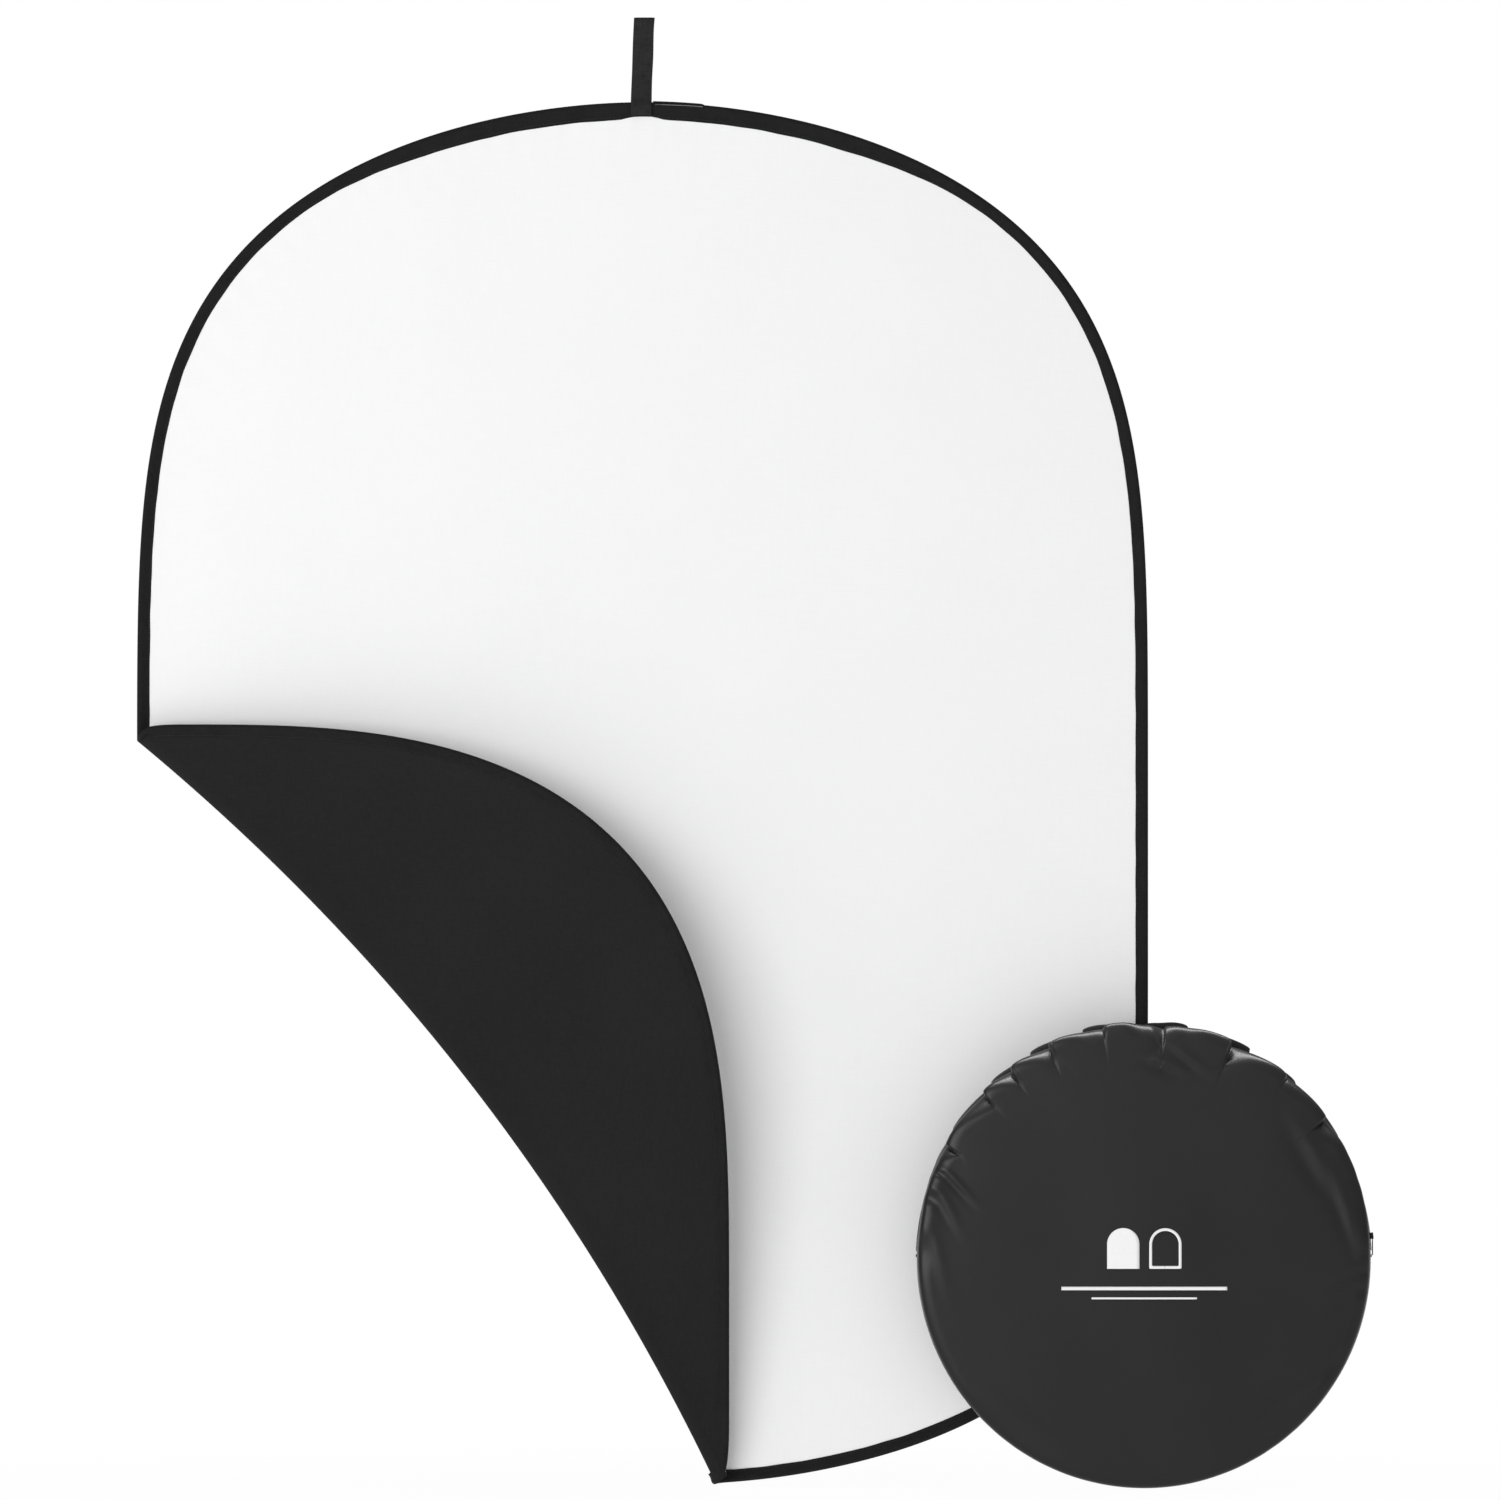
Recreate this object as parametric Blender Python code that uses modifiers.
"""Collapsible two-sided backdrop panel with its zipped storage case.

The panel hangs from a webbing loop, with its lower left corner turned forward.
Metres, +Z up, the viewer at -Y. The origin is inside the top of the hang loop.
"""
import math

import bmesh
import bpy
import numpy as np
from mathutils import Matrix, Vector

# Panel outline: two rounded ends joined by short straight sides
PANEL_HALF_WIDTH = 0.723
PANEL_TOP = -0.121
PANEL_BOTTOM = -2.101
TOP_END_HEIGHT = 1.0015
TOP_END_POWERS = (1.9, 4.32)
BOTTOM_END_HEIGHT = 0.782
BOTTOM_END_POWERS = (2.0, 4.32)

# The fold that turns the corner forward
FOLD_LEFT = np.array([-0.7233, 0.0, -1.0327])
FOLD_LOWER = np.array([0.1060, 0.0, -2.0974])
FOLD_BOW = 0.075
ROLL_RADIUS = 0.018
CORNER_RISE = 0.085
CORNER_CURL = 1.3
CORNER_CENTRE = (-0.640, -1.8094)
CORNER_RADII = (0.7637, 0.7985)
CORNER_POWERS = (2.77, 3.14)
RIM_AT_LEFT_BEND = -1.0127
RIM_AT_LOWER_BEND = 0.140
CORNER_RIM_START = -0.690
CORNER_RIM_END = -2.050

# Cloth, hoop and binding sections; depths are measured inward from the rim
CLOTH_THICKNESS = 0.0008
CLOTH_OFFSET = 0.0008
CLOTH_EDGE = 0.0046
CORNER_CLOTH_EDGE = 0.0095
HOOP_SECTION = [(0.0026, 0.0030), (0.0026, -0.0030)]
HOOP_THICKNESS = 0.0012
FERRULE_SECTION = [(0.0041, 0.0039), (0.0011, 0.0039), (0.0011, -0.0039), (0.0041, -0.0039)]
FERRULE_THICKNESS = 0.0005
FERRULE_SPAN = (0.030, 0.070)
BINDING_SECTION = [
    (0.018, 0.0024), (0.006, 0.0052), (0.0, 0.0054),
    (0.0, -0.0054), (0.006, -0.0052), (0.018, -0.0024),
]
BINDING_THICKNESS = 0.0008
LAP_SECTION = [(-0.0013, 0.0050), (-0.0013, -0.0050)]
LAP_SPAN = (0.017, 0.088)
GAP = 0.0004
BEND_GAP = 0.0025

# Hang loop
LOOP_WIDTH = 0.0294
LOOP_THICKNESS = 0.0014
LOOP_HALF_GAP = 0.0045
LOOP_HINGE_RISE = 0.003
LOOP_LEG_HEIGHTS = (0.0, 0.007, 0.018, 0.032)
LOOP_LEG_HALF_GAPS = (0.0010, 0.0014, 0.0036, 0.0043)
LOOP_FOOT_DROP = 0.0195
LOOP_FOOT_BEVEL = 0.0003

# Storage case
CASE_CENTRE = np.array([0.715, -0.075, -1.774])
CASE_RADIUS = 0.3235
CASE_DEPTH = 0.030
CASE_WALL = 0.001
ZIP_HALF_WIDTH = 0.005
ZIP_END_ANGLE = 88.0
TAPE_THICKNESS = 0.0008
TAPE_INNER_EDGE = 0.0020
TEETH_SPAN = (0.0005, 0.0016)
TEETH_HEIGHT = 0.0020
STOP_SIZE = (0.003, 0.0036, 0.004)
STOP_BEVEL = 0.0004
SLIDER_ANGLE = 84.0
SLIDER_LENGTH = 0.009
SLIDER_WEB = 0.0002
SLIDER_PLATE = 0.0042
SLIDER_LUG = (0.0018, 0.0028)
SLIDER_HEIGHTS = (-0.0031, -0.0019, 0.0014, 0.0026, 0.0056)
PULLER_LENGTH = 0.028
PULLER_THICKNESS = 0.0014
PULLER_TONGUE = 0.0013
PULLER_HALF_WIDTH = 0.0035
PULLER_SHOULDER = 0.010
PULLER_PIVOT_RISE = 0.0043

CLOTH_BLACK = (0.020, 0.020, 0.021)
CLOTH_WHITE = (0.86, 0.86, 0.87)
STEEL = (0.35, 0.36, 0.38)
DARK_STEEL = (0.06, 0.06, 0.065)

CHORD = FOLD_LOWER - FOLD_LEFT
CHORD_LENGTH = float(np.linalg.norm(CHORD))
CHORD_DIR = CHORD / CHORD_LENGTH
CHORD_NORMAL = np.array([-CHORD_DIR[2], 0.0, CHORD_DIR[0]])
FORWARD = np.array([0.0, -1.0, 0.0])


def clear_scene():
    for item in list(bpy.data.objects):
        bpy.data.objects.remove(item, do_unlink=True)


def new_collection(name):
    group = bpy.data.collections.new(name)
    bpy.context.scene.collection.children.link(group)
    return group


def make_material(name, colour, roughness, metallic=0.0):
    material = bpy.data.materials.new(name)
    material.use_nodes = True
    shader = material.node_tree.nodes["Principled BSDF"]
    shader.inputs["Base Color"].default_value = (*colour, 1.0)
    shader.inputs["Roughness"].default_value = roughness
    shader.inputs["Metallic"].default_value = metallic
    return material


def add_object(group, name, data, look):
    item = bpy.data.objects.new(name, data)
    group.objects.link(item)
    item.data.materials.append(make_material(name, *look))
    return item


def grid_mesh(name, points):
    """A quad mesh from an array of points with two parameters."""
    rows, columns = points.shape[:2]
    mesh = bpy.data.meshes.new(name)
    faces = [
        (i * columns + j, i * columns + j + 1, (i + 1) * columns + j + 1, (i + 1) * columns + j)
        for i in range(rows - 1)
        for j in range(columns - 1)
    ]
    mesh.from_pydata(points.reshape(-1, 3).tolist(), [], faces)
    return mesh


def thicken(item, thickness, offset):
    shell = item.modifiers.new("wall", "SOLIDIFY")
    shell.thickness = thickness
    shell.offset = offset
    shell.use_even_offset = True


def carried(path, section):
    """A cross-section of (inward, toward front) points, carried along a path."""
    places, inward, front = path
    return np.stack([places + q * inward + p * front for q, p in section], axis=1)


def add_ribbon(group, name, points, thickness, look):
    item = add_object(group, name, grid_mesh(name, points), look)
    thicken(item, thickness, -1.0)
    return item


def add_cloth(group, name, points, look):
    item = add_object(group, name, grid_mesh(name, points), look)
    thicken(item, CLOTH_THICKNESS, 0.0)
    return item


def add_flat(group, name, outline, thickness, look):
    """A flat outline in XY, thickened along Z about its own plane."""
    curve = bpy.data.curves.new(name, "CURVE")
    curve.dimensions = "2D"
    curve.fill_mode = "BOTH"
    curve.extrude = thickness / 2
    spline = curve.splines.new("POLY")
    spline.points.add(len(outline) - 1)
    for point, (x, y) in zip(spline.points, outline):
        point.co = (x, y, 0.0, 1.0)
    spline.use_cyclic_u = True
    return add_object(group, name, curve, look)


def unit(vectors):
    return vectors / np.linalg.norm(vectors, axis=-1, keepdims=True)


def end_curve(angles, height, powers):
    """Half of a rounded end, from its side at angle 0 to its tip at a quarter turn."""
    side = PANEL_HALF_WIDTH * np.cos(angles) ** (2 / powers[0])
    rise = height * np.sin(angles) ** (2 / powers[1])
    return side, rise


def even_steps(points, count):
    """The same line of points, spaced evenly along its length."""
    steps = np.linalg.norm(np.diff(points, axis=0), axis=1)
    run = np.concatenate([[0.0], np.cumsum(steps)])
    wanted = np.linspace(0.0, run[-1], count)
    return np.stack([np.interp(wanted, run, points[:, k]) for k in range(3)], axis=1)


def panel_rim_points():
    """The rim from the lower bend, up the right side, over the top and down to the left bend."""
    angles = math.pi / 2 * np.linspace(0.0, 1.0, 600) ** 3
    side, drop = end_curve(angles, BOTTOM_END_HEIGHT, BOTTOM_END_POWERS)
    below = np.stack([side, np.zeros_like(side), PANEL_BOTTOM + BOTTOM_END_HEIGHT - drop], axis=1)
    lower = below[side >= RIM_AT_LOWER_BEND][::-1]
    side, rise = end_curve(angles, TOP_END_HEIGHT, TOP_END_POWERS)
    right = np.stack([side, np.zeros_like(side), PANEL_TOP - TOP_END_HEIGHT + rise], axis=1)
    left = right[::-1] * np.array([-1.0, 1.0, 1.0])
    left = left[left[:, 2] >= RIM_AT_LEFT_BEND]
    return np.concatenate([lower, right, left[1:]])


def with_frames(points, inward):
    """Adds to a line of rim points the inward direction and the cloth's front direction."""
    along = unit(np.gradient(points, axis=0))
    front = unit(np.cross(along, inward))
    return points, np.cross(front, along), front


def panel_rim(count=72):
    points = even_steps(panel_rim_points(), count)
    along = unit(np.gradient(points, axis=0))
    return with_frames(points, np.cross(FORWARD, along))


def panel_rim_between(low, high, count):
    """The stretch of the top rim between two distances to the right of the middle."""
    points = panel_rim()[0]
    top = points[(points[:, 2] > PANEL_TOP - 0.3) & (points[:, 0] >= low - 0.10)]
    x = np.linspace(high, low, count)
    z = np.interp(x, top[::-1, 0], top[::-1, 2])
    places = np.stack([x, np.zeros(count), z], axis=1)
    along = unit(np.gradient(places, axis=0))
    return with_frames(places, np.cross(FORWARD, along))


def fold_bow(s):
    """How far the fold stands in from its chord, at fractions s along it."""
    return FOLD_BOW * 4 * s * (1 - s)


def corner_rim_flat(count=400):
    """The turned corner's rim as (chord fraction, distance from the chord)."""
    angles = np.linspace(math.pi / 2, 0.0, count)
    x = CORNER_CENTRE[0] + CORNER_RADII[0] * np.cos(angles) ** (2 / CORNER_POWERS[0])
    z = CORNER_CENTRE[1] + CORNER_RADII[1] * np.sin(angles) ** (2 / CORNER_POWERS[1])
    x = np.concatenate([[FOLD_LEFT[0], CORNER_RIM_START], x, [x[-1], x[-1]]])
    z = np.concatenate([[z[0], z[0]], z, [CORNER_RIM_END, FOLD_LOWER[2]]])
    rim = np.stack([x, np.zeros_like(x), z], axis=1) - FOLD_LEFT
    return rim @ CHORD_DIR / CHORD_LENGTH, rim @ CHORD_NORMAL


def corner_reach(s):
    fraction, distance = corner_rim_flat()
    return np.interp(s, fraction, distance)


def corner_surface(along, distance):
    """The turned corner at places along the chord and out from it; it rises toward its rim."""
    s = np.clip(along / CHORD_LENGTH, 0.0, 1.0)
    start = fold_bow(s) + ROLL_RADIUS
    w = np.clip((distance - start) / np.maximum(corner_reach(s) - start, 0.01), 0.0, 1.5)
    depth = 2 * ROLL_RADIUS + CORNER_RISE * np.sin(math.pi * s) * w ** CORNER_CURL
    flat = along[..., None] * CHORD_DIR + distance[..., None] * CHORD_NORMAL
    return FOLD_LEFT + flat + depth[..., None] * FORWARD


def corner_white_side(along, distance, step=1e-4):
    """Unit normals of the turned corner, toward its white side."""
    down_chord = corner_surface(along + step, distance) - corner_surface(along - step, distance)
    off_chord = corner_surface(along, distance + step) - corner_surface(along, distance - step)
    return unit(np.cross(off_chord, down_chord))


def corner_rim_section(section, count=36):
    """A cross-section carried along the turned corner's rim, on the corner's own surface."""
    fraction, distance = corner_rim_flat()
    flat = np.stack([fraction * CHORD_LENGTH, distance, np.zeros_like(distance)], axis=1)
    places = FOLD_LEFT + flat[:, :1] * CHORD_DIR + flat[:, 1:2] * CHORD_NORMAL
    keep = (places[:, 0] >= CORNER_RIM_START - 1e-6) & (places[:, 2] >= CORNER_RIM_END - 1e-6)
    flat = even_steps(flat[keep], count)
    forward = unit(np.gradient(flat, axis=0))
    flat[0] += GAP * forward[0]
    flat[-1] -= GAP * forward[-1]
    columns = []
    for q, p in section:
        along = flat[:, 0] + q * forward[:, 1]
        distance = flat[:, 1] - q * forward[:, 0]
        columns.append(corner_surface(along, distance) + p * corner_white_side(along, distance))
    return np.stack(columns, axis=1)


def bend_path(start, start_handle, end, end_handle, first_inward, last_inward, forward, count=15):
    """Half a turn of the rim round the roll, along a Bezier curve as the front sees it."""
    t = np.linspace(0.0, 1.0, count)[:, None]
    places = (
        (1 - t) ** 3 * start
        + 3 * (1 - t) ** 2 * t * (start + start_handle)
        + 3 * (1 - t) * t ** 2 * (end - end_handle)
        + t ** 3 * end
    )
    turn = t if forward else 1 - t
    places = places + ROLL_RADIUS * (1 - np.cos(math.pi * turn)) * FORWARD
    return with_frames(places, unit((1 - t) * first_inward + t * last_inward))


def left_bend():
    start = np.array([-PANEL_HALF_WIDTH, 0.0, RIM_AT_LEFT_BEND])
    end = np.array([CORNER_RIM_START, 0.0, CORNER_CENTRE[1] + CORNER_RADII[1]])
    down = np.array([0.0, 0.0, -0.050])
    right = np.array([0.050, 0.0, 0.0])
    return bend_path(start, down, end, right, np.array([1.0, 0, 0]), np.array([0, 0, -1.0]), True)


def lower_bend():
    start = np.array([CORNER_CENTRE[0] + CORNER_RADII[0], 0.0, CORNER_RIM_END])
    end = panel_rim_points()[0]
    down = np.array([0.0, 0.0, -0.060])
    right = np.array([0.065, 0.0, 0.0])
    return bend_path(start, down, end, right, np.array([-1.0, 0, 0]), np.array([0, 0, 1.0]), False)


def add_panel_sheets(group):
    path = panel_rim()
    edge = (path[0] + CLOTH_EDGE * path[1])[:, [0, 2]]
    s = np.linspace(0.03, 0.97, 24)
    fold = FOLD_LEFT + s[:, None] * CHORD_LENGTH * CHORD_DIR
    fold = fold + (fold_bow(s) + ROLL_RADIUS)[:, None] * CHORD_NORMAL
    left_step = [edge[-1] + np.array([0.020, 0.0])]
    lower_step = [edge[0] + np.array([0.0, 0.020])]
    outline = np.concatenate([edge, left_step, fold[:, [0, 2]], lower_step])
    for name, colour, y in (
        ("front_sheet", CLOTH_WHITE, -CLOTH_OFFSET),
        ("back_sheet", CLOTH_BLACK, CLOTH_OFFSET),
    ):
        sheet = add_flat(group, name, outline, CLOTH_THICKNESS, (colour, 0.9))
        sheet.rotation_euler = (math.pi / 2, 0.0, 0.0)
        sheet.location = (0.0, y, 0.0)


def add_corner_sheets(group):
    s, w = np.meshgrid(np.linspace(0.03, 0.97, 22), np.linspace(0.0, 1.0, 6), indexing="ij")
    start = fold_bow(s) + ROLL_RADIUS
    along = s * CHORD_LENGTH
    distance = start + w * (corner_reach(s) - CORNER_CLOTH_EDGE - start)
    middle = corner_surface(along, distance)
    white_side = CLOTH_OFFSET * corner_white_side(along, distance)
    add_cloth(group, "corner_front_sheet", middle + white_side, (CLOTH_WHITE, 0.9))
    add_cloth(group, "corner_back_sheet", middle - white_side, (CLOTH_BLACK, 0.9))


def add_roll_sheets(group):
    margin = GAP / ROLL_RADIUS
    s, turn = np.meshgrid(
        np.linspace(0.03, 0.97, 20), np.linspace(margin, math.pi - margin, 7), indexing="ij"
    )
    along = FOLD_LEFT + s[..., None] * CHORD_LENGTH * CHORD_DIR
    for name, colour, radius in (
        ("fold_roll_white", CLOTH_WHITE, ROLL_RADIUS - CLOTH_OFFSET),
        ("fold_roll_black", CLOTH_BLACK, ROLL_RADIUS + CLOTH_OFFSET),
    ):
        distance = fold_bow(s) + ROLL_RADIUS - radius * np.sin(turn)
        depth = ROLL_RADIUS - radius * np.cos(turn)
        points = along + distance[..., None] * CHORD_NORMAL + depth[..., None] * FORWARD
        add_cloth(group, name, points, (colour, 0.9))


def trimmed(path, length=GAP):
    """The path with each end drawn back, so that neighbouring pieces stay apart."""
    places, inward, front = (part.copy() for part in path)
    for end, near in ((0, 1), (-1, -2)):
        step = places[near] - places[end]
        places[end] += step * length / np.linalg.norm(step)
    return places, inward, front


def add_rim_parts(group):
    whole = panel_rim()
    cloth_look = (CLOTH_BLACK, 0.85)
    hoop_look = (STEEL, 0.35, 1.0)
    binding = carried(trimmed(whole), BINDING_SECTION)
    add_ribbon(group, "binding_main", binding, BINDING_THICKNESS, cloth_look)
    middle = sum(FERRULE_SPAN) / 2
    join = int(np.argmin(np.abs(whole[0][:, 0] - middle) - (whole[0][:, 2] > PANEL_TOP - 0.1)))
    for name, first, last in (("hoop_right", 0, join + 1), ("hoop_left", join, len(whole[0]))):
        half = trimmed(tuple(part[first:last] for part in whole))
        add_ribbon(group, name, carried(half, HOOP_SECTION), HOOP_THICKNESS, hoop_look)
    ferrule = carried(panel_rim_between(*FERRULE_SPAN, 9), FERRULE_SECTION)
    add_ribbon(group, "hoop_ferrule", ferrule, FERRULE_THICKNESS, (DARK_STEEL, 0.4, 1.0))
    lap = carried(panel_rim_between(*LAP_SPAN, 11), LAP_SECTION)
    add_ribbon(group, "binding_lap", lap, BINDING_THICKNESS, cloth_look)
    binding = corner_rim_section(BINDING_SECTION)
    add_ribbon(group, "binding_corner", binding, BINDING_THICKNESS, cloth_look)
    add_ribbon(group, "hoop_corner", corner_rim_section(HOOP_SECTION), HOOP_THICKNESS, hoop_look)
    for side, path in (("left", left_bend()), ("lower", lower_bend())):
        bend = trimmed(path, BEND_GAP)
        binding = carried(bend, BINDING_SECTION)
        add_ribbon(group, "binding_bend_" + side, binding, BINDING_THICKNESS, cloth_look)
        add_ribbon(group, "hoop_bend_" + side, carried(bend, HOOP_SECTION), HOOP_THICKNESS, hoop_look)


def add_hang_loop(group):
    """One webbing strip: two legs from the panel's top edge, joined by a round turn."""
    foot = PANEL_TOP + LOOP_HINGE_RISE
    turn_height = -LOOP_HALF_GAP
    angles = np.linspace(0.0, math.pi, 9)
    turn_y = -LOOP_HALF_GAP * np.cos(angles)
    turn_z = turn_height + LOOP_HALF_GAP * np.sin(angles)
    leg_y = -np.array(LOOP_LEG_HALF_GAPS)
    leg_z = foot + np.array(LOOP_LEG_HEIGHTS)
    y = np.concatenate([leg_y, turn_y, -leg_y[::-1]])
    z = np.concatenate([leg_z, turn_z, leg_z[::-1]])
    x = np.array([-LOOP_WIDTH / 2, LOOP_WIDTH / 2])
    points = np.stack(
        [np.tile(x, (len(y), 1)), np.tile(y[:, None], (1, 2)), np.tile(z[:, None], (1, 2))], axis=2
    )
    strip = add_object(group, "hang_loop", grid_mesh("hang_loop", points), (CLOTH_BLACK, 0.8))
    thicken(strip, LOOP_THICKNESS, 1.0)
    pivot = bpy.data.objects.new("hang_loop_pivot", None)
    group.objects.link(pivot)
    pivot.location = (0.0, 0.0, foot)
    strip.parent = pivot
    strip.matrix_parent_inverse = Matrix.Translation(-pivot.location)


def add_block(group, name, size, centre, look, bevel, turn=None):
    mesh = bpy.data.meshes.new(name)
    shape = bmesh.new()
    bmesh.ops.create_cube(shape, size=1.0)
    bmesh.ops.scale(shape, vec=Vector(size), verts=shape.verts)
    bmesh.ops.bevel(shape, geom=shape.edges[:], offset=bevel, segments=1, affect="EDGES")
    shape.to_mesh(mesh)
    shape.free()
    item = add_object(group, name, mesh, look)
    item.location = centre
    if turn is not None:
        item.rotation_euler = turn
    return item


def add_loop_feet(group):
    """The webbing's two ends, sewn flat on the binding's faces."""
    height = LOOP_FOOT_DROP - 0.001
    centre_z = PANEL_TOP - 0.001 - height / 2
    offset = BINDING_SECTION[2][1] + LOOP_THICKNESS / 2 + GAP
    for name, side in (("loop_foot_front", -1.0), ("loop_foot_back", 1.0)):
        size = (LOOP_WIDTH, LOOP_THICKNESS, height)
        add_block(group, name, size, (0.0, side * offset, centre_z), (CLOTH_BLACK, 0.8), LOOP_FOOT_BEVEL)


def case_ring(start, end, radius, count):
    """Rim points of the case between two clock angles in degrees, with frames for a ribbon."""
    angles = np.radians(np.linspace(end, start, count))
    outward = np.stack([np.sin(angles), np.zeros(count), np.cos(angles)], axis=1)
    places = CASE_CENTRE + radius * outward
    return places, -outward, np.tile(FORWARD, (count, 1))


def add_case_shell(group, name, side):
    """One face of the case: a shallow dish with a flat middle and a full round edge."""
    mesh = bpy.data.meshes.new(name)
    shape = bmesh.new()
    bmesh.ops.create_uvsphere(shape, u_segments=40, v_segments=12, radius=1.0)
    bmesh.ops.bisect_plane(
        shape, geom=shape.verts[:] + shape.edges[:] + shape.faces[:],
        plane_co=(0, 0, 0), plane_no=(0, 0, 1), clear_inner=True,
    )
    for corner in shape.verts:
        reach = min(1.0, math.hypot(corner.co.x, corner.co.y))
        corner.co.z = (1.0 - reach ** 6) ** 0.5
    bmesh.ops.scale(shape, vec=Vector((CASE_RADIUS, CASE_RADIUS, CASE_DEPTH)), verts=shape.verts)
    shape.to_mesh(mesh)
    shape.free()
    item = add_object(group, name, mesh, (CLOTH_BLACK, 0.45))
    item.rotation_euler = (side * math.pi / 2, 0.0, 0.0)
    item.location = CASE_CENTRE + np.array([0.0, -side * (ZIP_HALF_WIDTH + 2 * GAP), 0.0])
    thicken(item, CASE_WALL, -1.0)


def add_case_rim(group):
    tape = (CLOTH_BLACK, 0.7)
    teeth = (DARK_STEEL, 0.35, 0.6)
    end = ZIP_END_ANGLE
    closed = case_ring(end + 3.0, 360.0 - end - 3.0, CASE_RADIUS, 34)
    width = ZIP_HALF_WIDTH - GAP
    add_ribbon(group, "case_gusset", carried(closed, [(0, width), (0, -width)]), TAPE_THICKNESS, tape)
    zipped = case_ring(-end, end, CASE_RADIUS, 36)
    for name, side in (("front", 1.0), ("back", -1.0)):
        edges = sorted([side * width, side * TAPE_INNER_EDGE], reverse=True)
        strip = carried(zipped, [(0.0, p) for p in edges])
        add_ribbon(group, "zip_tape_" + name, strip, TAPE_THICKNESS, tape)
        edges = sorted([side * p for p in TEETH_SPAN], reverse=True)
        strip = carried(zipped, [(-TEETH_HEIGHT / 2, p) for p in edges])
        add_ribbon(group, "zip_teeth_" + name, strip, TEETH_HEIGHT, teeth)
    for name, angle in (("zip_stop_left", -end - 1.0), ("zip_stop_right", end + 1.0)):
        add_block(
            group, name, STOP_SIZE, case_place(angle, CASE_RADIUS), (DARK_STEEL, 0.35, 1.0),
            STOP_BEVEL, (0.0, math.radians(angle - 90.0), 0.0),
        )


def case_place(angle, radius):
    turn = math.radians(angle)
    return CASE_CENTRE + radius * np.array([math.sin(turn), 0.0, math.cos(turn)])


def add_slider(group):
    """An I-shaped slider whose web runs between the two rows of teeth, with lugs for the puller."""
    web, plate = SLIDER_WEB, SLIDER_PLATE
    lug_in, lug_out = SLIDER_LUG
    inner, low, high, outer, top = SLIDER_HEIGHTS
    outline = [
        (web, low), (plate, low), (plate, inner), (-plate, inner), (-plate, low), (-web, low),
        (-web, high), (-plate, high), (-plate, outer), (-lug_out, outer), (-lug_out, top), (-lug_in, top),
        (-lug_in, outer), (lug_in, outer), (lug_in, top), (lug_out, top), (lug_out, outer),
        (plate, outer), (plate, high), (web, high),
    ]
    slider = add_flat(group, "zip_slider", outline, SLIDER_LENGTH, (STEEL, 0.3, 1.0))
    outward = Vector(case_place(SLIDER_ANGLE, 1.0) - CASE_CENTRE)
    across = Vector((0.0, 1.0, 0.0))
    frame = Matrix((across, outward, across.cross(outward))).transposed()
    slider.matrix_world = Matrix.Translation(Vector(CASE_CENTRE)) @ frame.to_4x4()
    slider.data.transform(Matrix.Translation((0.0, CASE_RADIUS, 0.0)))


def add_puller(group):
    """A flat tab on a narrow tongue, hanging from the slider's lugs."""
    pivot = case_place(SLIDER_ANGLE, CASE_RADIUS + PULLER_PIVOT_RISE)
    tongue, wide, shoulder = PULLER_TONGUE, PULLER_HALF_WIDTH, PULLER_SHOULDER
    angles = np.linspace(0.0, math.pi, 9)
    tip = [(wide * math.cos(a), -PULLER_LENGTH + wide - wide * math.sin(a)) for a in angles]
    head = [(-tongue, -shoulder + 0.002), (-tongue, 0.001), (tongue, 0.001), (tongue, -shoulder + 0.002)]
    outline = [(wide, -shoulder)] + tip + [(-wide, -shoulder)] + head
    puller = add_flat(group, "zip_puller", outline, PULLER_THICKNESS, (STEEL, 0.3, 1.0))
    across = Vector((0.0, 1.0, 0.0))
    up = Vector((0.0, 0.0, 1.0))
    frame = Matrix((across, up, across.cross(up))).transposed()
    puller.matrix_world = Matrix.Translation(Vector(pivot)) @ frame.to_4x4()


def main():
    clear_scene()
    group = new_collection("collapsible_backdrop_panel")
    add_panel_sheets(group)
    add_corner_sheets(group)
    add_roll_sheets(group)
    add_rim_parts(group)
    add_hang_loop(group)
    add_loop_feet(group)
    add_case_shell(group, "case_front_shell", 1.0)
    add_case_shell(group, "case_back_shell", -1.0)
    add_case_rim(group)
    add_slider(group)
    add_puller(group)


main()
